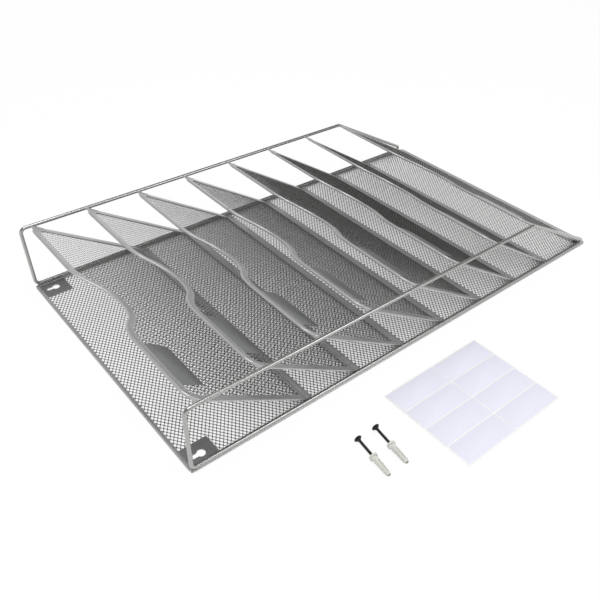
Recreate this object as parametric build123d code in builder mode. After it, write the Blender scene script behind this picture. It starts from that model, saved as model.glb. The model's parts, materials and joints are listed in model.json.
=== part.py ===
from build123d import *
from math import atan2, cos, hypot, radians, sin
import os

# Hanging file organiser of expanded metal: a flat mesh back with a row of leaning mesh pockets.
#
# The organiser lies on its back. +Z points out of the wall it hangs on, +Y is its hung top and X runs
# across its width. The origin is the middle of the back's rear face. Its loose wall screws, wall plugs
# and label sheet lie beside it on the same surface. Sizes are in millimetres.

os.makedirs("parts", exist_ok=True)

# ---------------------------------------------------------------- driving dimensions
back_width = 330.0
back_length = 596.0
rail_height = 78.0              # middle of the rail wires above the rear face

rim_width = 4.0
rim_thickness = 2.4
rim_corner_radius = 6.0
rim_edge_round = 0.7
mesh_thickness = 0.8
rim_fold = 0.25                 # the rim's folded strip behind the mesh
rim_grip = 3.0                  # how far the back's mesh reaches into its folded rim

wire_diameter = 4.0
wire_inset = 2.0                # the back's outer edge to the middle of the wire that lies on its rim
wire_rest = 0.05                # between the rim and the wire on it
rail_outset = 0.5               # how much further out a rail stands than the wire on the rim
upright_lean = 2.5
wire_bend_radius = 6.0
wire_toe_radius = 3.2           # the tight bend at the wire's bottom corner

pocket_count = 8
pocket_pitch = 63.3
first_lip_drop = 12.4           # top edge of the back to the first pocket's place on the rails
pocket_lean = 121.0             # how far each pocket's foot lies below its place on the rails
side_gap = 1.0                  # a pocket's side edge to the wire beside it
lip_rise = 6.0                  # the lip's straight parts above the line between the rails
lip_corner_radius = 17.0
notch_half_width = 70.0
notch_depth = 27.0

binding_width = 8.0
binding_thickness = 1.6
bead_width = 2.4
bead_thickness = 2.8
bead_round = 0.9
foot_flange = 8.0
foot_flange_thickness = 0.8
foot_flange_root = 1.6          # how far the flange runs under the slanted leg
foot_grip = 5.0
mesh_edge_inset = 1.0           # a pocket's mesh ends this far inside its folded edges

weld_tab_width = 12.0           # the lip's tab, from the middle of the wire inwards
weld_tab_height = 12.0
weld_tab_rise = 2.0             # how far the tab reaches above the pocket's place on the rails

label_plate_width = 63.0
label_plate_height = 24.0
label_plate_thickness = 0.6
label_plate_inset = 75.0        # middle of the pocket to the plate's near end
label_plate_round = 11.0
label_plate_corner = 2.0

keyhole_plate_width = 24.0
keyhole_plate_height = 29.0
keyhole_inset_x = 10.5          # from the rim's inner edge to the round hole's middle
keyhole_inset_y = 15.0
keyhole_radius = 4.2
keyhole_slot_width = 4.6
keyhole_slot_rise = 8.5         # round hole's middle to the slot's end centre

plug_length = 24.0
plug_radius = 3.1
plug_collar_radius = 4.1
plug_collar_length = 2.2
plug_waist_radius = 2.5
plug_waist_length = 4.5
plug_tip_radius = 2.6
plug_rib_count = 6
plug_rib_depth = 0.4
plug_slit_width = 0.8
screw_shank_radius = 1.6
screw_head_radius = 3.8
screw_head_height = 3.2
screw_head_rim = 0.5
screw_length = 33.5
screw_start = 11.0              # how deep each screw stands in its plug at rest
screw_plug_gap = 0.2
screw_tip_length = 5.0
screw_recess_width = 1.0
screw_recess_length = 4.2
screw_recess_depth = 1.6
fixing_turn = 7.5               # the fixings lie this far off the X axis, degrees
fixing_gap = 60.0               # back's edge to the screws' heads
fixing_places = (161.0, 139.0)  # along Y

label_columns = 4
label_rows = 2
label_width = 24.6
label_length = 65.0
label_gap = 1.6
label_margin = 1.6
label_backing_thickness = 0.3
label_thickness = 0.2
label_round = 1.0
label_sheet_place = (-253.0, 34.8)

# ---------------------------------------------------------------- worked-out places
wire_radius = wire_diameter / 2
inner_x = back_width / 2 - rim_width
inner_y = back_length / 2 - rim_width
mesh_bottom = rim_fold
mesh_top = mesh_bottom + mesh_thickness
foot_wire_x = back_width / 2 - wire_inset
foot_wire_z = rim_thickness + wire_rest + wire_radius
first_lip_y = back_length / 2 - first_lip_drop
foot_middle_z = mesh_top + binding_thickness / 2
bottom_lip_y = first_lip_y - (pocket_count - 1) * pocket_pitch
bottom_foot_y = -inner_y + binding_thickness


def save(piece, name):
    """Label one finished sub-part and write its STEP file."""
    piece.part.label = name
    export_step(piece.part, f"parts/{name}.step")
    volume = sum(solid.volume for solid in piece.part.solids())
    print(f"{name}: {len(piece.part.solids())} solid(s), {volume:.0f} mm3")


def wire_x_at(height):
    """Distance of a side wire's middle from the centre plane, at one height."""
    return foot_wire_x + rail_outset * (height - foot_wire_z) / (rail_height - foot_wire_z)


# ---------------------------------------------------------------- the back
# The mesh and the two solid corner plates are one flat layer, and its edges sit in the folded rim.
with BuildSketch() as back_layer:
    RectangleRounded(
        2 * (inner_x + rim_grip),
        2 * (inner_y + rim_grip),
        rim_corner_radius - (rim_width - rim_grip),
    )
zone_width = keyhole_plate_width + rim_width
zone_height = keyhole_plate_height + rim_width
zone_x = inner_x + rim_width - zone_width / 2
zone_y = inner_y + rim_width - zone_height / 2

with BuildPart() as back_mesh:
    with BuildSketch(Plane.XY.offset(mesh_bottom)):
        add(back_layer.sketch)
        with Locations((-zone_x, zone_y), (zone_x, zone_y)):
            Rectangle(zone_width, zone_height, mode=Mode.SUBTRACT)
    extrude(amount=mesh_thickness)
save(back_mesh, "back_mesh")

keyhole_plates = []
for side, side_name in ((-1, "left"), (1, "right")):
    hole_x = side * (inner_x - keyhole_inset_x)
    hole_y = inner_y - keyhole_inset_y
    with BuildPart() as keyhole_plate:
        with BuildSketch(Plane.XY.offset(mesh_bottom)):
            with Locations((side * zone_x, zone_y)):
                Rectangle(zone_width, zone_height)
            add(back_layer.sketch, mode=Mode.INTERSECT)
            with Locations((hole_x, hole_y)):
                Circle(keyhole_radius, mode=Mode.SUBTRACT)
            with Locations((hole_x, hole_y + keyhole_slot_rise / 2)):
                Rectangle(keyhole_slot_width, keyhole_slot_rise, mode=Mode.SUBTRACT)
            with Locations((hole_x, hole_y + keyhole_slot_rise)):
                Circle(keyhole_slot_width / 2, mode=Mode.SUBTRACT)
        extrude(amount=mesh_thickness)
    save(keyhole_plate, f"keyhole_plate_{side_name}")
    keyhole_plates.append(keyhole_plate.part)

with BuildPart() as back_rim:
    with BuildSketch():
        RectangleRounded(back_width, back_length, rim_corner_radius)
    extrude(amount=rim_thickness)
    fillet(back_rim.edges().filter_by(Plane.XY), radius=rim_edge_round)
    with BuildSketch():
        RectangleRounded(2 * inner_x, 2 * inner_y, rim_corner_radius - rim_width)
    extrude(amount=rim_thickness, mode=Mode.SUBTRACT)
    add(back_mesh.part, mode=Mode.SUBTRACT)
    add(keyhole_plates, mode=Mode.SUBTRACT)
save(back_rim, "back_rim")

# ---------------------------------------------------------------- the side wires
# Each is one closed loop: an upright at the top, the rail, a slanted run beside the bottom pocket
# and a run along the back. The loop's plane tilts outwards by the rails' outset.
wire_tilt = atan2(rail_outset, rail_height - foot_wire_z)
loop_rise = hypot(rail_outset, rail_height - foot_wire_z)
loop_top_y = back_length / 2 - wire_inset
loop_toe_y = -loop_top_y
side_wires = []
for side, side_name in ((-1, "left"), (1, "right")):
    loop_plane = Plane(
        origin=(side * foot_wire_x, 0, foot_wire_z),
        x_dir=(0, 1, 0),
        z_dir=(cos(wire_tilt), 0, -side * sin(wire_tilt)),
    )
    with BuildPart() as side_wire:
        with BuildLine(loop_plane) as loop:
            FilletPolyline(
                (loop_top_y, 0),
                (loop_top_y + upright_lean, loop_rise),
                (bottom_lip_y, loop_rise),
                (loop_toe_y, 0),
                radius=[wire_bend_radius, wire_bend_radius, wire_bend_radius, wire_toe_radius],
                close=True,
            )
        with BuildSketch(Plane(origin=loop.line @ 0, z_dir=loop.line % 0)):
            Circle(wire_radius)
        sweep()
    save(side_wire, f"side_wire_{side_name}")
    side_wires.append(side_wire.part)


# ---------------------------------------------------------------- the pockets
def pocket_outline(foot_half, top_half, top):
    """Return a pocket's front as a flat face: its foot along X and its notched lip at the top.

    The notch is two tangent arcs on each side of the middle, so it has no corners.
    """
    with BuildSketch() as outline:
        with BuildLine():
            edge = FilletPolyline(
                (0, 0),
                (foot_half, 0),
                (top_half, top),
                (notch_half_width, top),
                radius=[0, lip_corner_radius],
            )
            shoulder = TangentArc(
                edge @ 1, (notch_half_width / 2, top - notch_depth / 2), tangent=(-1, 0)
            )
            TangentArc(shoulder @ 1, (0, top - notch_depth), tangent=shoulder % 1)
            mirror(about=Plane.YZ)
        make_face()
    return outline.sketch


for number in range(1, pocket_count + 1):
    is_bottom = number == pocket_count
    lip_y = first_lip_y - (number - 1) * pocket_pitch
    foot_y = bottom_foot_y if is_bottom else lip_y - pocket_lean
    rise = rail_height - foot_middle_z
    run = lip_y - foot_y
    slope = atan2(rise, run)
    rail_line = hypot(run, rise)
    top = rail_line + lip_rise
    foot_half = foot_wire_x - wire_radius - side_gap
    top_half = foot_half + rail_outset * top / rail_line
    lip_end = top - lip_corner_radius - mesh_edge_inset
    outline = pocket_outline(foot_half, top_half, top)
    front = Plane(
        origin=(0, foot_y, foot_middle_z), x_dir=(1, 0, 0), z_dir=(0, -sin(slope), cos(slope))
    )

    with BuildPart() as pocket_mesh:
        with BuildSketch(front):
            add(outline)
            offset(amount=-mesh_edge_inset, mode=Mode.REPLACE)
        extrude(amount=mesh_thickness / 2, both=True)
    save(pocket_mesh, f"pocket_{number}_mesh")

    # The folded edge is one band all round, cut into the lip and the two sides.
    middle_width = 2 * (foot_half - 2 * binding_width)
    with BuildPart() as sides:
        with BuildSketch(front):
            add(outline)
            offset(amount=-binding_width, mode=Mode.SUBTRACT)
            Rectangle(middle_width, 2 * top, mode=Mode.SUBTRACT)
            with Locations((0, (foot_grip + lip_end) / 2)):
                Rectangle(back_width, lip_end - foot_grip, mode=Mode.INTERSECT)
        extrude(amount=binding_thickness / 2, both=True)
        add(pocket_mesh.part, mode=Mode.SUBTRACT)
    save(sides, f"pocket_{number}_sides")

    with BuildSketch() as below_lip:
        with Locations((0, lip_end / 2)):
            Rectangle(back_width, lip_end)
        with Locations((0, top / 2 + binding_width)):
            Rectangle(middle_width, top, mode=Mode.SUBTRACT)

    with BuildPart() as bead:
        with BuildSketch(front):
            add(outline)
            offset(amount=-bead_width, mode=Mode.SUBTRACT)
            add(below_lip.sketch, mode=Mode.SUBTRACT)
        extrude(amount=bead_thickness / 2, both=True)
        bead_ends = bead.faces().filter_by(Plane(front.origin, z_dir=front.y_dir))
        fillet(bead.edges() - bead_ends.edges(), radius=bead_round)

    with BuildPart() as lip:
        with BuildSketch(front):
            add(outline)
            offset(amount=-binding_width, mode=Mode.SUBTRACT)
            add(below_lip.sketch, mode=Mode.SUBTRACT)
        extrude(amount=binding_thickness / 2, both=True)
        add(bead.part)
        tab_middle = rail_line + weld_tab_rise - weld_tab_height / 2
        tab_end = wire_x_at(foot_middle_z + tab_middle * sin(slope))
        with BuildSketch(front):
            for side in (-1, 1):
                with Locations((side * (tab_end - weld_tab_width / 2), tab_middle)):
                    Rectangle(weld_tab_width, weld_tab_height)
        extrude(amount=binding_thickness / 2, both=True)
        add(pocket_mesh.part, mode=Mode.SUBTRACT)
        add(side_wires, mode=Mode.SUBTRACT)
    save(lip, f"pocket_{number}_lip")

    flange_side = 1 if is_bottom else -1
    with BuildPart() as foot:
        with BuildSketch(front):
            with Locations((0, foot_grip / 2)):
                Rectangle(2 * foot_half, foot_grip)
        extrude(amount=binding_thickness / 2, both=True)
        with BuildSketch(Plane.XY.offset(mesh_top)):
            flange_root = foot_y + (0 if is_bottom else foot_flange_root)
            with Locations((0, flange_root + flange_side * foot_flange / 2)):
                Rectangle(2 * foot_half, foot_flange)
        extrude(amount=foot_flange_thickness)
        add(pocket_mesh.part, mode=Mode.SUBTRACT)
    save(foot, f"pocket_{number}_foot")

    with BuildPart() as label_plate:
        with BuildSketch(front.offset(mesh_thickness / 2)) as plate_sketch:
            plate_top = top - binding_width
            plate_x = -label_plate_inset - label_plate_width / 2
            with Locations((plate_x, plate_top - label_plate_height / 2)):
                Rectangle(label_plate_width, label_plate_height)
            low_corners = plate_sketch.vertices().group_by(Axis.Y)[0].sort_by(Axis.X)
            fillet(low_corners[0], radius=label_plate_corner)
            low_corners = plate_sketch.vertices().group_by(Axis.Y)[0].sort_by(Axis.X)
            fillet(low_corners[-1], radius=label_plate_round)
        extrude(amount=label_plate_thickness)
    save(label_plate, f"pocket_{number}_label_plate")

# ---------------------------------------------------------------- the wall fixings, lying loose
fixing_along = Vector(-cos(radians(fixing_turn)), sin(radians(fixing_turn)), 0)
collar_at = screw_length - screw_start
with BuildPart() as wall_plugs:
    for place in fixing_places:
        head_at = Vector(-back_width / 2 - fixing_gap, place, plug_collar_radius)
        plug_plane = Plane(origin=head_at + fixing_along * collar_at, x_dir=(0, 0, 1), z_dir=fixing_along)
        body_start = plug_collar_length + plug_waist_length
        rib_step = (plug_length - body_start) / plug_rib_count
        with BuildSketch(Plane(plug_plane.origin, x_dir=plug_plane.x_dir, z_dir=plug_plane.y_dir)):
            with BuildLine():
                profile = [
                    (0, 0),
                    (plug_collar_radius, 0),
                    (plug_collar_radius, -plug_collar_length),
                    (plug_waist_radius, -plug_collar_length - plug_waist_length / 2),
                ]
                for rib in range(plug_rib_count):
                    shrink = (plug_radius - plug_tip_radius) * rib / plug_rib_count
                    rib_at = -body_start - rib * rib_step
                    profile.append((plug_radius - shrink, rib_at))
                    profile.append((plug_radius - shrink - plug_rib_depth, rib_at - rib_step))
                profile.append((0, -plug_length))
                Polyline(*profile, close=True)
            make_face()
        revolve(axis=Axis(plug_plane.origin, fixing_along))
        with BuildSketch(plug_plane):
            Circle(screw_shank_radius + screw_plug_gap)
        extrude(amount=plug_length, mode=Mode.SUBTRACT)
        with BuildSketch(plug_plane.offset(body_start)):
            Rectangle(plug_slit_width, 2 * plug_collar_radius)
        extrude(amount=plug_length - body_start, mode=Mode.SUBTRACT)
save(wall_plugs, "wall_plugs")

for place, screw_name in zip(fixing_places, ("upper", "lower")):
    head_at = Vector(-back_width / 2 - fixing_gap, place, plug_collar_radius)
    screw_plane = Plane(origin=head_at, x_dir=(0, 0, 1), z_dir=fixing_along)
    with BuildPart() as wall_screw:
        with BuildSketch(Plane(head_at, x_dir=screw_plane.x_dir, z_dir=screw_plane.y_dir)):
            with BuildLine():
                Polyline(
                    (0, 0),
                    (screw_head_radius, 0),
                    (screw_head_radius, -screw_head_rim),
                    (screw_shank_radius, -screw_head_height),
                    (screw_shank_radius, screw_tip_length - screw_length),
                    (0, -screw_length),
                    close=True,
                )
            make_face()
        revolve(axis=Axis(head_at, fixing_along))
        with BuildSketch(screw_plane):
            Rectangle(screw_recess_width, screw_recess_length)
            Rectangle(screw_recess_length, screw_recess_width)
        extrude(amount=screw_recess_depth, mode=Mode.SUBTRACT)
    save(wall_screw, f"wall_screw_{screw_name}")

# ---------------------------------------------------------------- the label sheet, lying loose
label_step_x = label_width + label_gap
label_step_y = label_length + label_gap
sheet_width = label_columns * label_step_x - label_gap + 2 * label_margin
sheet_length = label_rows * label_step_y - label_gap + 2 * label_margin
with BuildPart() as label_backing:
    with BuildSketch():
        with Locations(label_sheet_place):
            RectangleRounded(sheet_width, sheet_length, label_round)
    extrude(amount=label_backing_thickness)
save(label_backing, "label_backing")

with BuildPart() as labels:
    with BuildSketch(Plane.XY.offset(label_backing_thickness)):
        with Locations(label_sheet_place):
            with GridLocations(label_step_x, label_step_y, label_columns, label_rows):
                RectangleRounded(label_width, label_length, label_round)
    extrude(amount=label_thickness)
save(labels, "labels")
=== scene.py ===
# %% [markdown]
# # A hanging file organiser of expanded metal
#
# The real object is a flat back of expanded metal in a folded rim, two bent side wires, and eight
# leaning pocket fronts of the same metal, each with a folded edge and a finger notch. It lies on its
# back with its screws, plugs and labels beside it. Every part is made as a surface worked out with
# numpy, in metres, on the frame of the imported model.

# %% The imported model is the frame
import json

import bpy
import numpy as np
from mathutils import Matrix, Vector


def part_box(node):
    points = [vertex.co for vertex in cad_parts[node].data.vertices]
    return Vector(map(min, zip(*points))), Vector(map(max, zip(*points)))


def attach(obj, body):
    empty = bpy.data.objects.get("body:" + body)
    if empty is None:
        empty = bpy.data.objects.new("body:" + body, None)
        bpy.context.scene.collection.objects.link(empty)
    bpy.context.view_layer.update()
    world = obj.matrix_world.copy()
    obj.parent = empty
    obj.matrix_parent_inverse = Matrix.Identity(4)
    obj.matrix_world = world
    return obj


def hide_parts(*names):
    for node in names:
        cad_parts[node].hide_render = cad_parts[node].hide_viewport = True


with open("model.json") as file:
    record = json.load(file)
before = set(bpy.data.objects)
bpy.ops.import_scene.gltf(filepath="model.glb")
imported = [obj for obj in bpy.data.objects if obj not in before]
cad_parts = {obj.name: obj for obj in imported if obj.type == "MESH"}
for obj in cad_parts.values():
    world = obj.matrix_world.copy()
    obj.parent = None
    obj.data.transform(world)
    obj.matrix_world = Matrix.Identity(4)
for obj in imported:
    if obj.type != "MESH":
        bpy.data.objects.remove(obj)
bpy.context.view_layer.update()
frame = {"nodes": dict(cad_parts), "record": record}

MM = 0.001
nodes = frame["nodes"]

# %% [markdown]
# ## The camera
# A camera looks along its own -Z, with its own +Y up. It is simplest to give it the three directions
# of its axes as the columns of a matrix. The lens is long enough that the far corner is only a
# little smaller than the near one.

# %% The camera's place and directions
camera_place = Vector((-0.4987, 0.4714, 0.4832))
camera_right = Vector((-0.63272, -0.77373, 0.03172))
camera_up = Vector((0.49567, -0.37318, 0.78425))
camera_back = camera_right.cross(camera_up)

camera_data = bpy.data.cameras.new("camera")
camera_data.lens = 41.38
camera_data.sensor_width = 36.0
camera = bpy.data.objects.new("camera", camera_data)
turn = Matrix((camera_right, camera_up, camera_back)).transposed()
camera.matrix_world = Matrix.Translation(camera_place) @ turn.to_4x4()
bpy.context.scene.collection.objects.link(camera)
bpy.context.scene.camera = camera
print("the camera stands", round(camera_place.length, 3), "m from the middle of the back")


# %% [markdown]
# ## Shader node groups for the finishes
# Powder coat, nylon and paper all have a fine grain, so the grain is one node group with its scale
# and depth as inputs. A second group mixes two colours in soft cloudy patches, which no real
# finish is without. The Principled shader stays in each material.

# %% A helper that starts a node group
def start_group(name, inputs, outputs):
    """Make an empty shader node group. inputs and outputs are (name, socket type, default) rows."""
    group = bpy.data.node_groups.new(name, "ShaderNodeTree")
    for way, rows in (("INPUT", inputs), ("OUTPUT", outputs)):
        for socket_name, socket_type, default in rows:
            socket = group.interface.new_socket(socket_name, in_out=way, socket_type=socket_type)
            if default is not None:
                socket.default_value = default
    entry = group.nodes.new("NodeGroupInput")
    leave = group.nodes.new("NodeGroupOutput")
    return group, entry, leave


# %% The grain group: a bumped normal
def build_grain_group():
    """Orange-peel grain: a fine noise in object coordinates, as the height of a bump."""
    group, entry, leave = start_group(
        "surface_grain",
        [
            ("Scale", "NodeSocketFloat", 2000.0),
            ("Depth", "NodeSocketFloat", 0.1),
        ],
        [("Normal", "NodeSocketVector", None)],
    )
    place = group.nodes.new("ShaderNodeTexCoord")
    noise = group.nodes.new("ShaderNodeTexNoise")
    noise.inputs["Detail"].default_value = 2.0
    bump = group.nodes.new("ShaderNodeBump")
    bump.inputs["Distance"].default_value = 0.0001
    group.links.new(place.outputs["Object"], noise.inputs["Vector"])
    group.links.new(entry.outputs["Scale"], noise.inputs["Scale"])
    group.links.new(noise.outputs["Fac"], bump.inputs["Height"])
    group.links.new(entry.outputs["Depth"], bump.inputs["Strength"])
    group.links.new(bump.outputs["Normal"], leave.inputs["Normal"])
    return group


grain_group = build_grain_group()
print("built", grain_group.name, "with", len(grain_group.nodes), "nodes")

# %% The patches group: a colour and a roughness that drift over the surface
def build_patches_group():
    """Cloudy patches: a broad noise mixes two colours and moves the roughness between two values."""
    group, entry, leave = start_group(
        "soft_patches",
        [
            ("Light Colour", "NodeSocketColor", (1, 1, 1, 1)),
            ("Dark Colour", "NodeSocketColor", (0, 0, 0, 1)),
            ("Scale", "NodeSocketFloat", 30.0),
            ("Smoothest", "NodeSocketFloat", 0.3),
            ("Roughest", "NodeSocketFloat", 0.5),
        ],
        [("Color", "NodeSocketColor", None), ("Roughness", "NodeSocketFloat", None)],
    )
    place = group.nodes.new("ShaderNodeTexCoord")
    noise = group.nodes.new("ShaderNodeTexNoise")
    noise.inputs["Detail"].default_value = 4.0
    mix = group.nodes.new("ShaderNodeMix")
    mix.data_type = "RGBA"
    spread = group.nodes.new("ShaderNodeMapRange")
    group.links.new(place.outputs["Object"], noise.inputs["Vector"])
    group.links.new(entry.outputs["Scale"], noise.inputs["Scale"])
    group.links.new(noise.outputs["Fac"], mix.inputs["Factor"])
    group.links.new(entry.outputs["Light Colour"], mix.inputs["A"])
    group.links.new(entry.outputs["Dark Colour"], mix.inputs["B"])
    group.links.new(noise.outputs["Fac"], spread.inputs["Value"])
    group.links.new(entry.outputs["Smoothest"], spread.inputs["To Min"])
    group.links.new(entry.outputs["Roughest"], spread.inputs["To Max"])
    group.links.new(mix.outputs["Result"], leave.inputs["Color"])
    group.links.new(spread.outputs["Result"], leave.inputs["Roughness"])
    return group


patches_group = build_patches_group()
print("built", patches_group.name, "with", len(patches_group.nodes), "nodes")

# %% [markdown]
# ## The materials
# The silver-grey powder coat is full of metal flake, so it behaves like a soft metal: dark where it
# mirrors something dark, bright where it mirrors the studio. That is why Metallic is high. The
# leaning pockets are the same metal as the back, but their paint is a darker copy of the back's:
# painted shade for the shade that falls under and between the pockets. The small flat plates show
# the coat darker than the back and the folds do, so they have a finish of their own.

# %% One function makes every finish
patch_scale = 30.0


def finish(name, light, dark, smoothest, roughest, metallic, grain_scale, grain_depth):
    """A Principled material whose colour, roughness and normal come from the two groups."""
    material = bpy.data.materials.new(name)
    material.use_nodes = True
    tree = material.node_tree
    shader = tree.nodes["Principled BSDF"]
    shader.inputs["Metallic"].default_value = metallic
    patches = tree.nodes.new("ShaderNodeGroup")
    patches.node_tree = patches_group
    patches.inputs["Light Colour"].default_value = (*light, 1)
    patches.inputs["Dark Colour"].default_value = (*dark, 1)
    patches.inputs["Scale"].default_value = patch_scale
    patches.inputs["Smoothest"].default_value = smoothest
    patches.inputs["Roughest"].default_value = roughest
    grain = tree.nodes.new("ShaderNodeGroup")
    grain.node_tree = grain_group
    grain.inputs["Scale"].default_value = grain_scale
    grain.inputs["Depth"].default_value = grain_depth
    tree.links.new(patches.outputs["Color"], shader.inputs["Base Color"])
    tree.links.new(patches.outputs["Roughness"], shader.inputs["Roughness"])
    tree.links.new(grain.outputs["Normal"], shader.inputs["Normal"])
    return material


print("the patches of a finish are about", round(1 / patch_scale, 3), "m across")

# %% The finishes of this object
mesh_paint = finish(
    "mesh_paint", (0.36, 0.36, 0.35), (0.28, 0.28, 0.275), 0.28, 0.42, 0.9, 2500, 0.10
)
# The pockets' paint is the back's paint made darker: painted shade for the shaded pocket fronts.
pocket_paint = finish(
    "pocket_paint", (0.21, 0.21, 0.205), (0.16, 0.16, 0.155), 0.28, 0.42, 0.9, 2500, 0.10
)
sheet_paint = finish(
    "sheet_paint", (0.54, 0.545, 0.54), (0.46, 0.465, 0.46), 0.32, 0.45, 0.5, 1500, 0.05
)
plate_paint = finish(
    "plate_paint", (0.36, 0.365, 0.365), (0.32, 0.325, 0.325), 0.34, 0.46, 0.8, 1500, 0.05
)
wire_paint = finish(
    "wire_paint", (0.47, 0.47, 0.46), (0.40, 0.40, 0.39), 0.20, 0.30, 0.95, 1500, 0.03
)
plug_nylon = finish(
    "plug_nylon", (0.66, 0.66, 0.62), (0.58, 0.58, 0.54), 0.38, 0.55, 0.0, 1200, 0.08
)
black_screw = finish(
    "black_screw", (0.020, 0.020, 0.022), (0.012, 0.012, 0.013), 0.25, 0.45, 0.5, 3000, 0.30
)
backing_paper = finish(
    "backing_paper", (0.86, 0.87, 0.865), (0.83, 0.84, 0.835), 0.30, 0.42, 0.0, 900, 0.10
)
label_paper = finish(
    "label_paper", (0.765, 0.765, 0.87), (0.75, 0.75, 0.855), 0.48, 0.62, 0.0, 1500, 0.30
)
print("made", len(bpy.data.materials), "materials")


# %% [markdown]
# ## Helpers for surfaces
# Every piece is a grid of points with two parameters, or several of them. These helpers number a
# grid's faces, run a path with rounded corners, and carry a profile along a path.

# %% Faces of a grid
def grid_faces(rows, columns, rows_join=False, columns_join=False):
    """Corner numbers of a grid's quads. A direction that joins wraps its last line to its first."""
    row, column = np.meshgrid(
        np.arange(rows if rows_join else rows - 1),
        np.arange(columns if columns_join else columns - 1),
        indexing="ij",
    )
    below, right = (row + 1) % rows, (column + 1) % columns
    corners = (
        row * columns + column,
        row * columns + right,
        below * columns + right,
        below * columns + column,
    )
    return np.stack(corners, axis=-1).reshape(-1, 4)


print("the faces of a 2 by 3 grid are", grid_faces(2, 3).tolist())

# %% Which way the faces point
def signed_volume(points, quads, caps):
    """Six times the volume inside the faces: the sum of each triangle's box product."""
    fans = [quads[:, [0, 1, 2]], quads[:, [0, 2, 3]]]
    for cap in caps:
        cap = np.asarray(cap)
        first = np.full(len(cap) - 2, cap[0])
        fans.append(np.stack([first, cap[1:-1], cap[2:]], axis=1))
    a, b, c = (points[np.concatenate(fans)[:, i]] for i in range(3))
    return np.einsum("ij,ij->", a, np.cross(b, c))


# %% A piece from arrays
def make_piece(name, points, quads, caps, material, slot, stands_for, body="organiser", sharp=None):
    """sharp is the angle in degrees past which an edge stays crisp; None leaves every face flat.
    """
    points = np.asarray(points, float).reshape(-1, 3)
    if signed_volume(points, quads, caps) < 0:
        quads = quads[:, ::-1]
        caps = [cap[::-1] for cap in caps]
    sizes = np.concatenate([np.full(len(quads), 4), [len(cap) for cap in caps]]).astype(int)
    corners = np.concatenate([quads.ravel(), *caps]).astype(int)
    mesh = bpy.data.meshes.new(name)
    mesh.vertices.add(len(points))
    mesh.vertices.foreach_set("co", points.ravel())
    mesh.loops.add(len(corners))
    mesh.loops.foreach_set("vertex_index", corners)
    mesh.polygons.add(len(sizes))
    mesh.polygons.foreach_set("loop_start", np.cumsum(sizes) - sizes)
    mesh.update(calc_edges=True)
    if sharp is not None:
        mesh.shade_smooth()
        mesh.set_sharp_from_angle(angle=np.radians(sharp))
    mesh.materials.append(material)
    piece = bpy.data.objects.new(name, mesh)
    bpy.context.scene.collection.objects.link(piece)
    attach(piece, body)
    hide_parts(*stands_for)
    return piece


# %% Several parts as one
def join_parts(parts):
    """Several (points, quads, caps) as one: each part's corner numbers move up by what is before it."""
    points, quads, caps, before = [], [], [], 0
    for part_points, part_quads, part_caps in parts:
        part_points = np.asarray(part_points).reshape(-1, 3)
        points.append(part_points)
        quads.append(part_quads + before)
        caps += [np.asarray(cap) + before for cap in part_caps]
        before += len(part_points)
    return np.concatenate(points), np.concatenate(quads), caps


# %% Paths with rounded corners
def rounded_path(corners, radii, arc_points=9):
    """Straight runs joined by arcs. An arc starts radius * tan(half the turn) before its corner."""
    corners = np.asarray(corners, float)
    path = []
    for i, (corner, radius) in enumerate(zip(corners, radii)):
        if radius == 0:
            path.append(corner[None])
            continue
        arriving = corner - corners[i - 1]
        leaving = corners[(i + 1) % len(corners)] - corner
        arriving /= np.linalg.norm(arriving)
        leaving /= np.linalg.norm(leaving)
        turn = np.arccos(arriving @ leaving)
        inwards = leaving - arriving * (arriving @ leaving)
        inwards /= np.linalg.norm(inwards)
        start = corner - arriving * radius * np.tan(turn / 2)
        angle = np.linspace(0, turn, arc_points)[:, None]
        path.append(start + radius * (inwards * (1 - np.cos(angle)) + arriving * np.sin(angle)))
    return np.concatenate(path)


bend = rounded_path([(0, 0), (10 * MM, 0), (10 * MM, 10 * MM)], [0, 4 * MM, 0])
print("a path round one corner has", len(bend), "places")

# %% A profile carried along a path
def carry(path, profile, across, closed=False):
    """Carry a closed profile along a flat path.

    A profile point (a, b) lands at path + a * side + b * across, where across is the normal of the
    path's plane and side is square to both across and the path.
    """
    path, profile, across = (np.asarray(value, float) for value in (path, profile, across))
    if closed:
        ahead = np.roll(path, -1, axis=0) - np.roll(path, 1, axis=0)
    else:
        ahead = np.gradient(path, axis=0)
    side = np.cross(ahead, across)
    side /= np.linalg.norm(side, axis=1, keepdims=True)
    points = path[:, None] + profile[None, :, :1] * side[:, None] + profile[None, :, 1:] * across
    count = len(profile)
    quads = grid_faces(len(path), count, rows_join=closed, columns_join=True)
    ends = [] if closed else [np.arange(count), np.arange(count)[::-1] + (len(path) - 1) * count]
    return points.reshape(-1, 3), quads, ends


# %% Two profiles
def circle(radius, count):
    """Points of a circle, as a profile."""
    angle = np.arange(count) * 2 * np.pi / count
    return np.stack([radius * np.cos(angle), radius * np.sin(angle)], axis=1)


def rounded_box(a_low, a_high, b_low, b_high, radius, arc_points=4):
    """A rectangle with rounded corners, as a profile."""
    corners = [(a_low, b_low), (a_high, b_low), (a_high, b_high), (a_low, b_high)]
    return rounded_path(corners, [radius] * 4, arc_points=arc_points)


print("a rounded box has", len(rounded_box(0, 8 * MM, 0, 2 * MM, 0.5 * MM)), "places round it")


# %% [markdown]
# ## Expanded metal
# A sheet is slit in staggered rows and pulled open. What is left is a row of zigzag ribbons that
# are joined at the bonds, each ribbon twisted out of the sheet's plane. So the sheet is a grid with
# two parameters, the ribbon and the place along it, with a small rectangular section at each
# place. It could be a flat pattern with transparent holes, but the real ribbons catch the light on
# their edges and the sheet looks dense from one side and open from the other. That needs geometry.

# %% The expanded sheet
# A little over half a ribbon's width lies on each side of its middle, so that ribbons meet at bonds.
ribbon_half_share = 0.52


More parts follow.
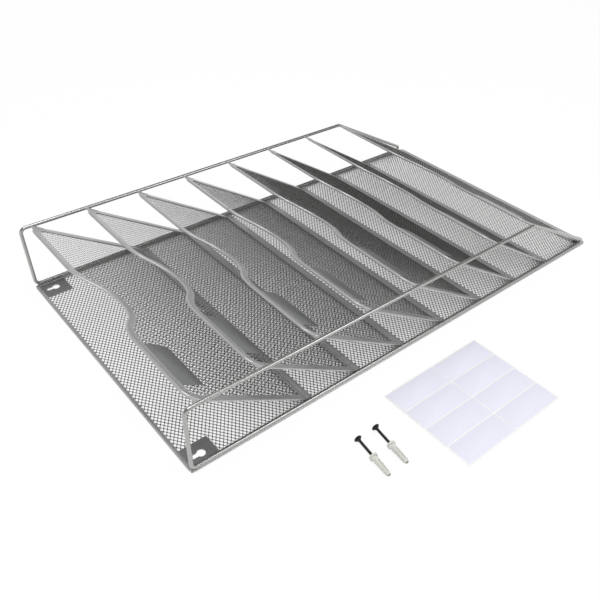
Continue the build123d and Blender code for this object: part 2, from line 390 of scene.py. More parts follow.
def expanded_sheet(ribbons, crossings, long_way, short_way, tilt, ribbon_size, keep):
    """Points, quads and caps of expanded metal in (long way, short way, out) coordinates.

    Ribbon r lies between r and r + 1 times half the short way. Crossing c stands at c times half
    the long way, and there the ribbon reaches its lower bond where r + c is even and its upper bond
    where it is odd. Each crossing has two sections, a bond length apart. The ribbon is tilted about
    the long way. ribbon_size is its width, its thickness and the length of a bond. keep(long, short)
    says which sections are inside the sheet's outline.
    """
    ribbon_width, ribbon_thickness, bond_length = ribbon_size
    crossing = np.repeat(crossings, 2)
    end = np.tile([-0.5, 0.5], len(crossing) // 2)
    across = crossing * long_way / 2 + end * bond_length
    ribbon, crossing = np.meshgrid(ribbons, crossing, indexing="ij")
    across = np.broadcast_to(across, ribbon.shape)
    up = (ribbon + crossing) % 2
    lean = 0.5 - up
    middle = np.stack(
        [
            across,
            (ribbon + up) * short_way / 2 + lean * ribbon_width * np.cos(tilt),
            lean * ribbon_width * np.sin(tilt),
        ],
        axis=-1,
    )
    wide = np.array([0, np.cos(tilt), np.sin(tilt)]) * ribbon_width * ribbon_half_share
    thick = np.array([0, -np.sin(tilt), np.cos(tilt)]) * ribbon_thickness / 2
    section = np.stack([wide + thick, thick - wide, -wide - thick, wide - thick])
    points = middle[:, :, None] + section

    inside = keep(middle[..., 0], middle[..., 1])
    solid = inside[:, :-1] & inside[:, 1:]
    first = np.arange(ribbon.size).reshape(ribbon.shape) * 4
    start, stop = first[:, :-1][solid], first[:, 1:][solid]
    quads = [
        np.stack([start + i, start + (i + 1) % 4, stop + (i + 1) % 4, stop + i], axis=1)
        for i in range(4)
    ]
    padded = np.pad(solid, ((0, 0), (1, 1)))
    opens = first[padded[:, 1:] & ~padded[:, :-1]]
    closes = first[padded[:, :-1] & ~padded[:, 1:]]
    quads.append(opens[:, None] + np.array([3, 2, 1, 0]))
    quads.append(closes[:, None] + np.array([0, 1, 2, 3]))
    used, quads = np.unique(np.concatenate(quads), return_inverse=True)
    return points.reshape(-1, 3)[used], quads.reshape(-1, 4), []


# %% [markdown]
# ## The back
# The back's metal ends under the folded rim and beside the two keyhole plates. It has too many
# cells for one mesh, so it is made in four bands, each a run of ribbons.

# %% The back's expanded metal
rim_low, rim_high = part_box("back_rim")
mesh_low, mesh_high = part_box("back_mesh")
plate_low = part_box("keyhole_plate_right")[0]
mesh_middle_z = (mesh_low.z + mesh_high.z) / 2
back_long_way = 5.75 * MM
back_short_way = 4.24 * MM
back_tilt = np.radians(8)
back_ribbon = (0.70 * MM, 0.36 * MM, 1.1 * MM)
hidden_edge = 1.5 * MM


def keep_back(across, along):
    """Inside the rim, and not under a keyhole plate."""
    inside = (abs(across) < mesh_high.x - hidden_edge) & (abs(along) < mesh_high.y - hidden_edge)
    in_plate = (abs(across) > plate_low.x + hidden_edge) & (along > plate_low.y + hidden_edge)
    return inside & ~in_plate


ribbon_limit = int(mesh_high.y / (back_short_way / 2))
crossing_limit = int(mesh_high.x / (back_long_way / 2))
back_crossings = np.arange(-crossing_limit, crossing_limit + 1)
band_places = ("lowest", "lower", "upper", "highest")
back_bands = np.array_split(np.arange(-ribbon_limit, ribbon_limit), len(band_places))
for band, place in zip(back_bands, band_places):
    points, quads, caps = expanded_sheet(
        band, back_crossings, back_long_way, back_short_way, back_tilt, back_ribbon, keep_back
    )
    points = points + np.array([0, 0, mesh_middle_z])
    make_piece(f"back_metal_{place}", points, quads, caps, mesh_paint, "mesh_paint", ["back_mesh"])
    print("back band", place, "has", len(quads), "faces")

# %% [markdown]
# The rim is sheet folded over the metal's edge: a round outer bead and a flat inner lip. It is one
# profile carried round a rectangle with rounded corners.

# %% The folded rim
rim_width = 4.0 * MM
rim_corner = 6.0 * MM
rim_height = rim_high.z - rim_low.z
bead_radius = rim_height / 2
inner_lip_low = 0.05 * MM
inner_lip_top = 1.75 * MM
inner_lip_round = 0.3 * MM
bead_angle = np.linspace(np.pi * 0.22, np.pi * 2 - np.pi * 0.28, 14)
rim_profile = np.concatenate(
    [
        np.stack(
            [bead_radius * (np.cos(bead_angle) + 1), bead_radius * (np.sin(bead_angle) + 1)], axis=1
        ),
        [
            (rim_width - inner_lip_round, inner_lip_low),
            (rim_width, inner_lip_low + inner_lip_round),
            (rim_width, inner_lip_top - inner_lip_round),
            (rim_width - inner_lip_round, inner_lip_top),
        ],
    ]
)
rim_corners = [
    (rim_low.x, rim_low.y, 0),
    (rim_high.x, rim_low.y, 0),
    (rim_high.x, rim_high.y, 0),
    (rim_low.x, rim_high.y, 0),
]
rim_path = rounded_path(rim_corners, [rim_corner] * 4, arc_points=13)
rim_part = carry(rim_path, rim_profile * np.array([-1, 1]), (0, 0, 1), closed=True)
make_piece("back_rim_fold", *rim_part, sheet_paint, "sheet_paint", ["back_rim"], sharp=50)
print("the rim runs through", len(rim_path), "places")


# %% [markdown]
# Each keyhole plate is a flat plate with a round hole that a slot leaves. Seen from the middle of
# the round hole, the edge of the keyhole and the edge of the plate are each met once in every
# direction, so the plate is a grid of directions by rings.

# %% The keyhole's edge
hang_holes = next(m for m in frame["record"]["mounts"] if m["name"] == "hang_holes")
hole_radius = hang_holes["dims"]["hole_r_mm"] * MM
hole_x = hang_holes["dims"]["spacing_x_mm"] * MM / 2
hole_y = hang_holes["pos_m"][1]
slot_half = 2.3 * MM
slot_rise = 8.5 * MM
plate_edge = 0.15 * MM
plate_over = 0.1 * MM


def keyhole_reach(angle):
    """Distance to the keyhole's edge: the round hole, the slot's walls, or the slot's round end."""
    along_x, along_y = abs(np.cos(angle)), np.sin(angle)
    wall = slot_half / np.maximum(along_x, 1e-9)
    inside = np.maximum(slot_half**2 - (slot_rise * along_x) ** 2, 0)
    round_end = slot_rise * along_y + np.sqrt(inside)
    at_end = (slot_rise * along_x < slot_half) & (wall * along_y > slot_rise)
    slot = np.where(along_y > 0, np.where(at_end, round_end, wall), 0)
    return np.maximum(hole_radius, slot)


print("a keyhole reaches up", round(keyhole_reach(np.pi / 2) / MM, 1), "mm from its round hole's middle")

# %% The keyhole plates
def keyhole_plate(side):
    """Rings from the keyhole's edge out to the plate's edge and back underneath."""
    low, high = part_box("keyhole_plate_left" if side < 0 else "keyhole_plate_right")
    left, right = low.x - side * hole_x, high.x - side * hole_x
    down, up = low.y - hole_y, high.y - hole_y
    corner_angles = [np.arctan2(y, x) for x in (left, right) for y in (down, up)]
    slot_corner = np.arcsin(np.sqrt(1 - (slot_half / hole_radius) ** 2))
    slot_angles = [slot_corner, np.pi - slot_corner]
    angle = np.sort(np.concatenate([np.linspace(-np.pi, np.pi, 96, False), corner_angles, slot_angles]))
    ray_x, ray_y = np.cos(angle), np.sin(angle)
    to_sides = np.where(ray_x > 0, right, left) / np.where(abs(ray_x) < 1e-9, 1e-9, ray_x)
    to_ends = np.where(ray_y > 0, up, down) / np.where(abs(ray_y) < 1e-9, 1e-9, ray_y)
    outer = np.minimum(abs(to_sides), abs(to_ends))
    inner = keyhole_reach(angle)
    top, bottom = high.z + plate_over, low.z
    reach = np.stack([inner, inner + plate_edge, outer - plate_edge, outer, outer, inner])
    height = np.array([top - plate_edge, top, top, top - plate_edge, bottom, bottom])[:, None]
    points = np.stack(
        [reach * ray_x + side * hole_x, reach * ray_y + hole_y, height + 0 * reach], axis=-1
    )
    quads = grid_faces(len(reach), len(angle), rows_join=True, columns_join=True)
    return points.reshape(-1, 3), quads, []


for side, side_name in ((-1, "left"), (1, "right")):
    make_piece(
        f"keyhole_{side_name}", *keyhole_plate(side), plate_paint, "sheet_paint",
        [f"keyhole_plate_{side_name}"], sharp=40,
    )
print("two keyhole plates,", round(2 * hole_x, 3), "m between their holes")


# %% [markdown]
# ## The pockets
# A pocket's front is a flat sheet that leans from its foot on the back to its lip between the
# rails. Everything on it is worked out in the sheet's own coordinates: across, along from the foot,
# and out. One function turns them into the frame.

# %% Where each pocket's sheet lies
sheet_thickness = 0.8 * MM
edge_inset = 1.0 * MM
settling_rounds = 6
pocket_count = sum(name.endswith("_mesh") and name.startswith("pocket") for name in nodes)


def pocket_plane(number):
    """The foot's middle, the direction along the sheet, and the direction out of it.

    The box of a leaning slab is longer than the slab by its thickness, so the slope is found by
    taking that off and trying again until it settles.
    """
    low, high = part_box(f"pocket_{number}_mesh")
    run, rise = high.y - low.y, high.z - low.z
    slope = np.arctan2(rise, run)
    for _ in range(settling_rounds):
        run_alone = run - sheet_thickness * np.sin(slope)
        rise_alone = rise - sheet_thickness * np.cos(slope)
        slope = np.arctan2(rise_alone, run_alone)
    along = np.array([0, np.cos(slope), np.sin(slope)])
    out = np.array([0, -np.sin(slope), np.cos(slope)])
    low_middle = np.array([0, low.y, low.z])
    low_middle = low_middle + sheet_thickness / 2 * np.array([0, np.sin(slope), np.cos(slope)])
    return low_middle - along * edge_inset, along, out


def on_pocket(number, points):
    """Turn (across, along, out) points into the frame."""
    foot, along, out = pocket_plane(number)
    points = np.asarray(points)
    return foot + points[:, :1] * np.array([1, 0, 0]) + points[:, 1:2] * along + points[:, 2:] * out


lean = np.degrees(np.arcsin(pocket_plane(1)[1][2]))
print("a pocket rises at", round(lean, 1), "degrees from the back")

# %% The outline of a pocket's front
lip_rise = 6.0 * MM
lip_corner = 17.0 * MM
notch_half = 70.0 * MM
notch_depth = 27.0 * MM
foot_half = 160.0 * MM
notch_radius = (notch_half**2 + notch_depth**2) / (4 * notch_depth)


def pocket_sizes(number):
    """Length along the sheet to its lip's top, and half its width there."""
    foot, along, _ = pocket_plane(number)
    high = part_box(f"pocket_{number}_mesh")[1]
    top = (high.z - foot[2]) / along[2] + edge_inset / 2
    return top, high.x + edge_inset


def lip_line(across, top):
    """The lip's height: level, with a notch of two equal arcs on each side of the middle."""
    distance = abs(across)
    near = top - notch_depth + notch_radius - np.sqrt(
        np.maximum(notch_radius**2 - distance**2, 0)
    )
    far = top - notch_radius + np.sqrt(
        np.maximum(notch_radius**2 - np.maximum(notch_half - distance, 0) ** 2, 0)
    )
    return np.where(distance < notch_half / 2, near, far)


def half_at(number, along):
    """Half the width of a pocket's front at a distance from its foot."""
    top, top_half = pocket_sizes(number)
    return foot_half + (top_half - foot_half) * along / top


for number in (1, pocket_count):
    print("pocket", number, "is", [round(1000 * size, 2) for size in pocket_sizes(number)], "mm")

# %% [markdown]
# The front's metal is the same expanded sheet with its long way up the slope, so its ribbons are
# stacked across the pocket. Its folded edge hides where the cells are cut, so cells are kept up to
# a little inside the outline.

# %% The pockets' expanded metal
pocket_long_way = 5.75 * MM
pocket_short_way = 4.0 * MM
pocket_tilt = np.radians(-20)
pocket_ribbon = (0.60 * MM, 0.28 * MM, 1.0 * MM)


def keep_pocket(number):
    """The test for one pocket: inside its slanted sides, its lip line and its rounded corners."""
    top = pocket_sizes(number)[0]

    def keep(along, across):
        side = half_at(number, along) - abs(across)
        below = lip_line(across, top) - along
        in_corner = (side < lip_corner) & (along > top - lip_corner)
        reach = np.hypot(lip_corner - side, along - top + lip_corner)
        rounded = ~in_corner | (reach < lip_corner - 2 * hidden_edge)
        return (side > 2 * hidden_edge) & (below > 2 * hidden_edge) & (along > hidden_edge) & rounded

    return keep


for number in range(1, pocket_count + 1):
    top, top_half = pocket_sizes(number)
    ribbon_count = int(top_half / (pocket_short_way / 2))
    sheet, quads, caps = expanded_sheet(
        np.arange(-ribbon_count, ribbon_count), np.arange(int(top / (pocket_long_way / 2))),
        pocket_long_way, pocket_short_way, pocket_tilt, pocket_ribbon, keep_pocket(number),
    )
    make_piece(
        f"pocket_{number}_metal", on_pocket(number, sheet[:, [1, 0, 2]]), quads, caps, pocket_paint,
        "mesh_paint", [f"pocket_{number}_mesh"],
    )
print("eight pocket fronts, the last with", len(quads), "faces")

# %% [markdown]
# The lip is the same sheet folded over the top edge, with a rolled bead along it for safe hands. It
# is one profile carried up the side, round the corner, along the top and through the notch. A small
# tab is welded under each rail.

# %% The lip's profile
binding_width = 8.0 * MM
binding_half = 0.8 * MM
binding_round = 0.15 * MM
lip_bead_across = 1.25 * MM
lip_bead_out = 1.4 * MM
bead_turn = np.radians(np.linspace(42, 318, 13))
lip_bead = np.stack(
    [lip_bead_across * (1 + np.cos(bead_turn)), lip_bead_out * np.sin(bead_turn)], axis=1
)
lip_edge = [
    (binding_width, binding_round - binding_half),
    (binding_width, binding_half - binding_round),
]
lip_profile = np.concatenate([lip_bead, lip_edge])
tab_below = 4.0 * MM
tab_inwards = 8.0 * MM
tab_outwards = 1.6 * MM
tab_profile = rounded_box(-6.0 * MM, 6.0 * MM, -0.75 * MM, 0.75 * MM, 0.5 * MM)
print("the lip's profile has", len(lip_profile), "places round it")

# %% The lips
def lip_path(number):
    """The outline from the left side's end to the right side's end, through the notch."""
    top, top_half = pocket_sizes(number)
    start = top - lip_corner - edge_inset
    left = rounded_path(
        [(-half_at(number, start), start), (-top_half, top), (-notch_half, top)],
        [0, lip_corner, 0], arc_points=15,
    )
    across = np.linspace(-notch_half, notch_half, 61)[1:-1]
    notch = np.stack([across, lip_line(across, top)], axis=1)
    right = left[::-1] * [-1, 1]
    return np.concatenate([left, notch, right])


def in_plane(number, path):
    """A flat (across, along) path in the frame, and the direction out of the pocket's plane."""
    flat = np.concatenate([path, np.zeros((len(path), 1))], axis=1)
    return on_pocket(number, flat), pocket_plane(number)[2]


for number in range(1, pocket_count + 1):
    path, out = in_plane(number, lip_path(number))
    parts = [carry(path, lip_profile, out)]
    tab_middle = pocket_sizes(number)[0] - lip_rise - tab_below
    for side in (-1, 1):
        edge_x = half_at(number, tab_middle)
        reach = side * np.array([edge_x - tab_inwards, edge_x + tab_outwards])
        ends = [(across, tab_middle) for across in reach]
        tab, out = in_plane(number, np.array(ends))
        parts.append(carry(tab, tab_profile, out))
    make_piece(
        f"pocket_{number}_lip_fold", *join_parts(parts), sheet_paint, "sheet_paint",
        [f"pocket_{number}_lip"], sharp=50,
    )
print("the lip's path has", len(path), "places")

# %% [markdown]
# A flat fold runs down each side, and a flange stands at the foot. The flange lies on the back, with
# rounded ends, and the leg above it grips the metal.

# %% The sizes of the folds and the feet
foot_grip = 5.0 * MM
flange_width = 8.0 * MM
flange_root = 1.6 * MM
flange_thickness = 0.8 * MM
flange_corner = 3.0 * MM
flange_edge = 0.25 * MM
fold_round = 0.6 * MM
side_profile = rounded_box(0, binding_width, -binding_half, binding_half, fold_round)
leg_profile = rounded_box(-foot_grip, 0, -binding_half, binding_half, fold_round)
print("a foot is", round(2 * foot_half, 3), "m long")

# %% A flat plate
def plate(outline, low, high, edge):
    """A flat plate: an outline in the plane, with rounded edges above and below."""
    outline = np.asarray(outline, float)
    ahead = np.roll(outline, -1, axis=0) - np.roll(outline, 1, axis=0)
    inwards = np.stack([-ahead[:, 1], ahead[:, 0]], axis=1)
    inwards = inwards / np.linalg.norm(inwards, axis=1, keepdims=True)
    levels = [
        (low, edge), (low + edge, 0), (high - edge, 0), (high - edge / 3, edge / 3), (high, edge)
    ]
    rings = [
        np.concatenate([outline + inset * inwards, np.full((len(outline), 1), level)], axis=1)
        for level, inset in levels
    ]
    quads = grid_faces(len(rings), len(outline), columns_join=True)
    first_ring = np.arange(len(outline))
    last_ring = first_ring + (len(rings) - 1) * len(outline)
    return np.stack(rings).reshape(-1, 3), quads, [first_ring, last_ring]


# %% The side folds and the feet
for number in range(1, pocket_count + 1):
    side_end = pocket_sizes(number)[0] - lip_corner - edge_inset
    side_places = np.array([foot_grip, side_end])
    folds = []
    for side in (-1, 1):
        edge = np.stack([side * half_at(number, side_places), side_places], axis=1)
        path, out = in_plane(number, edge)
        folds.append(carry(path, side_profile * np.array([-side, 1]), out))
    make_piece(
        f"pocket_{number}_side_folds", *join_parts(folds), sheet_paint, "sheet_paint",
        [f"pocket_{number}_sides"], sharp=50,
    )
    foot_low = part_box(f"pocket_{number}_foot")[0]
    leg, out = in_plane(number, np.array([[-foot_half, 0], [foot_half, 0]]))
    foot_y = pocket_plane(number)[0][1]
    if number == pocket_count:
        flange_low, flange_high = foot_y, foot_y + flange_width
    else:
        flange_low, flange_high = foot_y + flange_root - flange_width, foot_y + flange_root
    flange_corners = [
        (-foot_half, flange_low), (foot_half, flange_low),
        (foot_half, flange_high), (-foot_half, flange_high),
    ]
    flange_outline = rounded_path(flange_corners, [flange_corner] * 4, arc_points=7)
    flange = plate(flange_outline, foot_low.z, foot_low.z + flange_thickness, flange_edge)
    make_piece(
        f"pocket_{number}_foot_fold", *join_parts([carry(leg, leg_profile, out), flange]),
        sheet_paint, "sheet_paint", [f"pocket_{number}_foot"], sharp=50,
    )
print(pocket_count, "pairs of side folds and", pocket_count, "feet")

# %% [markdown]
# A small blank plate behind the lip takes a label. Its free corners are rounded, one of them widely.

# %% The label plates
blank_left = -138.0 * MM
blank_right = -75.0 * MM
blank_depth = 24.0 * MM
blank_corners = [2.0 * MM, 11.0 * MM, 0, 0]
blank_low, blank_high = 0.4 * MM, 1.0 * MM
blank_edge = 0.15 * MM
for number in range(1, pocket_count + 1):
    high_edge = pocket_sizes(number)[0] - binding_width
    low_edge = high_edge - blank_depth
    outline = rounded_path(
        [
            (blank_left, low_edge), (blank_right, low_edge),
            (blank_right, high_edge), (blank_left, high_edge),
        ],
        blank_corners, arc_points=9,
    )
    local, quads, caps = plate(outline, blank_low, blank_high, blank_edge)
    make_piece(
        f"pocket_{number}_blank_plate", on_pocket(number, local), quads, caps, plate_paint,
        "sheet_paint", [f"pocket_{number}_label_plate"], sharp=40,
    )
print(pocket_count, "label plates")

# %% [markdown]
# ## The side wires
# Each is one length of round wire bent into a flat closed loop: up, along the rail, down beside the
# bottom pocket and back along the rim. The loop's plane leans outwards a little.

# %% The two wire loops
wire_radius = 2.0 * MM
wire_inset = 2.0 * MM
upright_lean = 2.5 * MM
wire_bends = [6.0 * MM, 6.0 * MM, 6.0 * MM, 3.2 * MM]
last_foot, last_along, _ = pocket_plane(pocket_count)
last_rail = last_foot + last_along * (pocket_sizes(pocket_count)[0] - lip_rise)


def wire_loop(side):
    """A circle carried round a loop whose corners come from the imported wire's own box."""
    low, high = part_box("side_wire_left" if side < 0 else "side_wire_right")
    foot_x = min(abs(low.x), abs(high.x)) + wire_radius
    rail_x = max(abs(low.x), abs(high.x)) - wire_radius
    foot_z, rail_z = low.z + wire_radius, high.z - wire_radius
    top_y = rim_high.y - wire_inset
    lean = np.arctan2(rail_x - foot_x, rail_z - foot_z)
    corners = [
        (side * foot_x, top_y, foot_z),
        (side * rail_x, top_y + upright_lean, rail_z),
        (side * rail_x, last_rail[1], rail_z),
        (side * foot_x, -top_y, foot_z),
    ]
    path = rounded_path(corners, wire_bends, arc_points=11)
    across = (np.cos(lean), 0, -side * np.sin(lean))
    return carry(path, circle(wire_radius, 24), across, closed=True)


for side, side_name in ((-1, "left"), (1, "right")):
    make_piece(
        f"wire_{side_name}", *wire_loop(side), wire_paint, "wire_paint",
        [f"side_wire_{side_name}"], sharp=60,
    )
print("the last pocket meets the rail at y =", round(last_rail[1], 4))

# %% [markdown]
# ## The wall fixings
# Plugs and screws are turned shapes: a radius that depends on the place along the axis and on the
# angle. The screw's thread is a radius that climbs once per turn. The plug has a flared collar with
# two wings, a waist, ribs that grip and a slit.

# %% A turned shape
def turned(start, direction, along, radius, angle, hollow=False):
    """Points of radius(along, angle) about an axis through start.

    The two ends are closed, or where it is hollow the last ring is joined to the first.
    """
    direction = np.asarray(direction, float)
    flat = np.cross((0, 0, 1), direction)
    flat /= np.linalg.norm(flat)
    up = np.cross(direction, flat)
    ring = np.cos(angle)[:, None] * flat + np.sin(angle)[:, None] * up
    points = start + along[..., None] * direction + radius[..., None] * ring[None]
    count = len(angle)
    quads = grid_faces(len(along), count, rows_join=hollow, columns_join=True)
    caps = [] if hollow else [np.arange(count), np.arange(count) + (len(along) - 1) * count]
    return points.reshape(-1, 3), quads, caps


# %% The screw's sizes
screw_length = 33.5 * MM
head_radius = 3.8 * MM
head_height = 3.2 * MM
tip_length = 5.0 * MM
recess_arm = 0.62 * MM
recess_reach = 2.3 * MM
recess_depth = 1.5 * MM
recess_slope = 0.18 * MM
recess_end_slope = 0.3 * MM
face_round = 0.02 * MM
face_edge = 0.45 * MM
neck_radius = 1.5 * MM
thread_pitch = 1.5 * MM
thread_height = 0.43 * MM
thread_run_in = 3 * MM
root_radius = 1.15 * MM
plain_extra = 0.2 * MM
shank_drop = 0.2 * MM
fixing_turn = np.radians(7.5)
fixing_along = np.array([-np.cos(fixing_turn), np.sin(fixing_turn), 0])
print("the thread turns about", round((screw_length - head_height) / thread_pitch), "times")

# %% The screws
def screw_start(screw_name):
    """The middle of a screw's flat face, from the screw's own box."""
    low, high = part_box(screw_name)
    reach = np.array([np.sin(fixing_turn), np.cos(fixing_turn)]) * head_radius
    return np.array([high.x - reach[0], low.y + reach[1], (low.z + high.z) / 2])


def screw(start):
    """Recess, flat face, bugle head, threaded shank and point, as one turned grid."""
    angle = np.arange(56) * 2 * np.pi / 56
    face_radius = np.linspace(0.05, 0.97, 18) * head_radius
    cross = np.minimum(abs(np.cos(angle)), abs(np.sin(angle)))
    far = face_radius[:, None]
    in_arm = np.clip((recess_arm - far * cross) / recess_slope, 0, 1)
    in_arm = in_arm * np.clip((recess_reach - far) / recess_end_slope, 0, 1)
    face_along = in_arm * recess_depth
    head = np.linspace(0, 1, 12)
    head_along = head[1:] * head_height * 0.86 + face_edge
    head_curve = neck_radius + (head_radius - neck_radius) * (1 - head[1:]) ** 1.7
    head_along = np.concatenate([[face_round, face_edge], head_along])
    head_curve = np.concatenate([[head_radius, head_radius], head_curve])
    shank = np.linspace(head_height + shank_drop, screw_length, 300)
    turns = shank[:, None] / thread_pitch - angle / (2 * np.pi)
    ridge = 1 - 2 * abs(turns % 1 - 0.5)
    taper = np.clip((screw_length - shank) / tip_length, 0.04, 1)[:, None]
    grow = np.clip((shank[:, None] - head_height) / thread_run_in, 0, 1)
    plain = plain_extra * (1 - grow)
    shank_radius = (root_radius + thread_height * ridge**2 * grow + plain) * taper
    along = np.concatenate(
        [
            face_along,
            np.broadcast_to(head_along[:, None], (len(head_along), len(angle))),
            np.broadcast_to(shank[:, None], (len(shank), len(angle))),
        ]
    )
    radius = np.concatenate(
        [
            np.broadcast_to(far, face_along.shape),
            np.broadcast_to(head_curve[:, None], (len(head_curve), len(angle))),
            shank_radius,
        ]
    )
    return turned(start, fixing_along, along, radius, angle)


for place in ("upper", "lower"):
    make_piece(
        f"screw_{place}_turned", *screw(screw_start(f"wall_screw_{place}")), black_screw, "black_screw",
        [f"wall_screw_{place}"], body=f"screw_{place}", sharp=55,
    )
print("two screws,", round(screw_length, 4), "m long")

# %% The plug's sizes
plug_length = 24.0 * MM
collar_at = 22.5 * MM
collar_height = 2.2 * MM
collar_radius = 4.1 * MM
collar_rim_radius = 3.85 * MM
waist_radius = 2.45 * MM
waist_length = 4.3 * MM
wing_height = 1.45 * MM
body_start = 6.5 * MM
body_radius = 3.1 * MM
body_taper = 0.5 * MM
rib_count = 6
rib_depth = 0.45 * MM
tip_round = 1.6 * MM
slit_start, slit_end = 7.5 * MM, 21.5 * MM
slit_depth = 1.0 * MM
slit_half_angle = 0.13
bore_radius = 1.62 * MM
bore_chamfer = 0.3 * MM
least_wall = 0.13 * MM
collar_stations = [0, 0.15, 0.5, 1.6, 2.1, 2.3]
waist_stations = np.linspace(2.6, 6.4, 14)
body_stations = np.linspace(6.6, 23.9, 110)
plug_stations = np.concatenate([collar_stations, waist_stations, body_stations])
print("a plug is worked out at", len(plug_stations), "places along it")

# %% The wall plugs
def wall_plug(start):
    """Collar, winged waist, ribbed body with a slit, rounded tip and the bore right through."""
    angle = np.arange(60) * 2 * np.pi / 60
    place = plug_stations[:, None] * MM
    waist = np.clip((place - collar_height) / waist_length, 0, 1)
    collar = np.where(place < collar_height, collar_radius, waist_radius)
    collar = np.where(place < 0.1 * MM, collar_rim_radius, collar)
    wing = wing_height * abs(np.cos(angle)) ** 8 * (1 - waist) * (place >= collar_height)
    body = np.clip((place - body_start) / (plug_length - body_start), 0, 1)
    rib = (body * rib_count) % 1
    ribbed = body_radius - body_taper * body - rib_depth * rib
    tip = np.sqrt(np.clip((plug_length - place) / tip_round, 0.003, 1))
    radius = np.where(place < body_start, collar + wing, ribbed * tip)
    in_slit = (abs(np.sin(angle)) > np.cos(slit_half_angle)) & (place > slit_start) & (place < slit_end)
    radius = np.where(in_slit, radius - slit_depth, radius)
    radius = np.maximum(radius, bore_radius + least_wall)
    bore_place = np.array([[place[-1, 0]], [bore_chamfer], [0.0]])
    bore_wall = np.array([[bore_radius], [bore_radius], [bore_radius + bore_chamfer]])
    place = np.concatenate([place, bore_place])
    radius = np.concatenate([radius, np.broadcast_to(bore_wall, (3, len(angle)))])
    along = np.broadcast_to(place, radius.shape)
    return turned(start, fixing_along, along, radius, angle, hollow=True)


plugs = [
    wall_plug(screw_start(f"wall_screw_{place}") + fixing_along * collar_at)
    for place in ("upper", "lower")
]
make_piece("plugs_moulded", *join_parts(plugs), plug_nylon, "plug_nylon", ["wall_plugs"], sharp=45)
print("two plugs,", round(plug_length, 4), "m long")

# %% [markdown]
# ## The label sheet
# Two rows of four blank labels lie on a sheet of release paper.

# %% The sheet and its labels
def label_outline(low, high, corner):
    """A rectangle with rounded corners between two places."""
    return rounded_path(
        [(low[0], low[1]), (high[0], low[1]), (high[0], high[1]), (low[0], high[1])], [corner] * 4,
        arc_points=5,
    )


paper_corner = 1 * MM
paper_edge = 0.04 * MM
label_columns, label_rows = 4, 2
sheet_low, sheet_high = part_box("label_backing")
labels_low, labels_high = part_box("labels")
make_piece(
    "release_paper",
    *plate(
        label_outline(sheet_low, sheet_high, paper_corner), sheet_low.z, sheet_high.z, paper_edge
    ),
    backing_paper, "backing_paper", ["label_backing"], sharp=30,
)
label_gap = 1.6 * MM
step_x = (labels_high.x - labels_low.x + label_gap) / label_columns
step_y = (labels_high.y - labels_low.y + label_gap) / label_rows
blanks = []
for column in range(label_columns):
    for row in range(label_rows):
        low = (labels_low.x + column * step_x, labels_low.y + row * step_y)
        high = (low[0] + step_x - label_gap, low[1] + step_y - label_gap)
        outline = label_outline(low, high, paper_corner)
        blanks.append(plate(outline, labels_low.z, labels_high.z, paper_edge))
make_piece("blank_labels", *join_parts(blanks), label_paper, "label_paper", ["labels"], sharp=30)
print("labels of", round(step_x - label_gap, 4), "by", round(step_y - label_gap, 4), "m")

# %% [markdown]
# ## The studio
# The floor is white paper. What the camera sees of it is part light of its own and part lit surface,
# so it is white and still keeps the shadow: its own light is weaker where the object covers it.
# Mirrors see the same floor as the camera does. The room is a pale grey at the horizon and darker
# overhead for those rays, and even all round for the rays that light the object.

# %% Helpers for the floor and the room
def seen_or_mirrored(tree):
    """1 for camera, glossy and transmission rays, and 0 for the rays that only bring light."""
    rays = tree.nodes.new("ShaderNodeLightPath")
    largest = rays.outputs["Is Camera Ray"]
    for ray in ("Is Glossy Ray", "Is Transmission Ray"):
        larger = tree.nodes.new("ShaderNodeMath")
        larger.operation = "MAXIMUM"
        tree.links.new(largest, larger.inputs[0])
        tree.links.new(rays.outputs[ray], larger.inputs[1])
        largest = larger.outputs[0]
    return largest


def ramp(tree, value, before, after):
    """Carry a value from the range before to the range after, and hold it at the ends."""
    node = tree.nodes.new("ShaderNodeMapRange")
    node.inputs["From Min"].default_value, node.inputs["From Max"].default_value = before
    node.inputs["To Min"].default_value, node.inputs["To Max"].default_value = after
    tree.links.new(value, node.inputs["Value"])
    return node.outputs["Result"]


print("helpers for the floor and the room are ready")

# %% The floor
floor_reach = 6
floor_drop = 0.0004
floor_share = 0.95
floor_corners = [(x * floor_reach, y * floor_reach, 0) for x, y in ((-1, -1), (1, -1), (1, 1), (-1, 1))]
floor_mesh = bpy.data.meshes.new("floor")
floor_mesh.from_pydata(floor_corners, [], [(0, 1, 2, 3)])
floor = bpy.data.objects.new("floor", floor_mesh)
floor_mesh.transform(Matrix.Translation((0, 0, -floor_drop)))
bpy.context.scene.collection.objects.link(floor)
floor_paper = bpy.data.materials.new("floor_paper")
floor_paper.use_nodes = True
tree = floor_paper.node_tree
tree.nodes.clear()
output = tree.nodes.new("ShaderNodeOutputMaterial")
lit = tree.nodes.new("ShaderNodeBsdfDiffuse")
lit.inputs["Color"].default_value = (0.95, 0.95, 0.95, 1)
glow = tree.nodes.new("ShaderNodeEmission")
glow.inputs["Strength"].default_value = 1.0
blend = tree.nodes.new("ShaderNodeMixShader")
cover = tree.nodes.new("ShaderNodeAmbientOcclusion")
cover.samples = 8
cover.inputs["Distance"].default_value = 0.2
uncovered = ramp(tree, cover.outputs["AO"], (0.05, 0.36), (0.12, 1.0))
shaded = tree.nodes.new("ShaderNodeMath")
shaded.operation = "MULTIPLY"
tree.links.new(seen_or_mirrored(tree), shaded.inputs[0])
tree.links.new(uncovered, shaded.inputs[1])
share = tree.nodes.new("ShaderNodeMath")
share.operation = "MULTIPLY"
share.inputs[1].default_value = floor_share
tree.links.new(shaded.outputs[0], share.inputs[0])
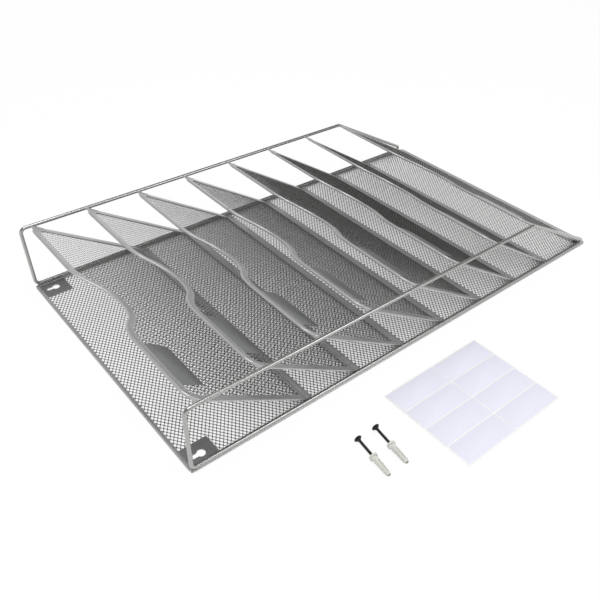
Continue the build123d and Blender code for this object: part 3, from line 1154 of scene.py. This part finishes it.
tree.links.new(share.outputs[0], blend.inputs["Fac"])
tree.links.new(lit.outputs["BSDF"], blend.inputs[1])
tree.links.new(glow.outputs["Emission"], blend.inputs[2])
tree.links.new(blend.outputs["Shader"], output.inputs["Surface"])
floor_mesh.materials.append(floor_paper)
print("the floor is", 2 * floor_reach, "m wide")

# %% The room
world = bpy.data.worlds.new("studio")
bpy.context.scene.world = world
world.use_nodes = True
tree = world.node_tree
tree.nodes.clear()
output = tree.nodes.new("ShaderNodeOutputWorld")
mirrored = tree.nodes.new("ShaderNodeBackground")
mirrored.inputs["Color"].default_value = (0.8, 0.8, 0.8, 1)
around = tree.nodes.new("ShaderNodeBackground")
around.inputs["Color"].default_value = (1, 1, 1, 1)
around.inputs["Strength"].default_value = 0.55
direction = tree.nodes.new("ShaderNodeTexCoord")
parts_of = tree.nodes.new("ShaderNodeSeparateXYZ")
blend = tree.nodes.new("ShaderNodeMixShader")
tree.links.new(direction.outputs["Generated"], parts_of.inputs["Vector"])
height = ramp(tree, parts_of.outputs["Z"], (0.08, 0.5), (1.0, 0.35))
tree.links.new(height, mirrored.inputs["Strength"])
tree.links.new(seen_or_mirrored(tree), blend.inputs["Fac"])
tree.links.new(around.outputs["Background"], blend.inputs[1])
tree.links.new(mirrored.outputs["Background"], blend.inputs[2])
tree.links.new(blend.outputs["Shader"], output.inputs["Surface"])
print("the room is called", world.name)

# %% The lamps
def soft_lamp(name, place, aim, size, power):
    """A square area lamp that looks at a point."""
    data = bpy.data.lights.new(name, "AREA")
    data.size = size
    data.energy = power
    lamp = bpy.data.objects.new(name, data)
    place, aim = Vector(place), Vector(aim)
    turn = (aim - place).to_track_quat("-Z", "Y").to_matrix().to_4x4()
    lamp.matrix_world = Matrix.Translation(place) @ turn
    bpy.context.scene.collection.objects.link(lamp)


soft_lamp("overhead", (-0.1, 0.3, 1.6), (0, 0, 0), 0.9, 14)
soft_lamp("side", (-1.4, -0.8, 1.3), (0, 0, 0), 0.8, 8)
bpy.context.scene.view_settings.view_transform = "Standard"
